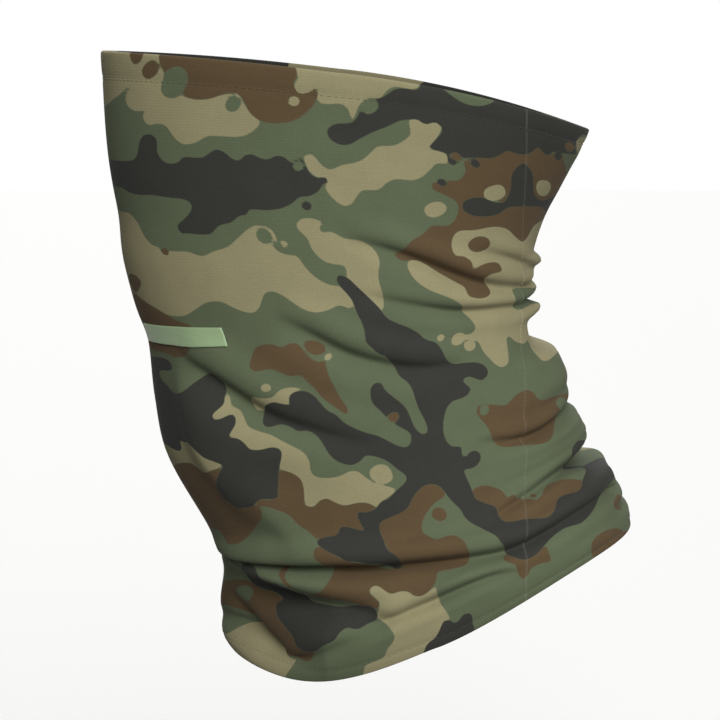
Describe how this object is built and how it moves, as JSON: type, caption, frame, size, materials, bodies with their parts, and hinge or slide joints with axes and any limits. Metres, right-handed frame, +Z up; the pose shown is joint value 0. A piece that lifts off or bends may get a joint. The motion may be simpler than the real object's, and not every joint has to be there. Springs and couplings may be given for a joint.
{
  "type": "camouflage neck gaiter face mask",
  "caption": "Tubular printed knit neck gaiter in its worn shape, covering nose to collar, with hems, a back seam and a small blank label.",
  "frame": {"origin": "centre of the lower opening, where the wearer's neck comes out of the tube", "axes": "+Z up towards the top of the wearer's head; the wearer faces -Y; +X is the wearer's left"},
  "size_m": [0.1749, 0.2333, 0.2666],
  "materials": {
    "printed_knit": "matt polyester-elastane knit, sublimation printed in a four-colour woodland camouflage of green, tan, brown and black",
    "sewing_thread": "dull textured polyester thread",
    "bonded_label": "smooth pale green woven label, blank"
  },
  "bodies": {
    "root": {"knit_tube": "printed_knit", "top_hem": "printed_knit", "bottom_hem": "printed_knit", "top_hem_stitching": "sewing_thread", "bottom_hem_stitching": "sewing_thread", "seam_allowance": "printed_knit", "overlock_thread": "sewing_thread", "seam_stitching": "sewing_thread", "label": "bonded_label"}
  },
  "joints": []
}
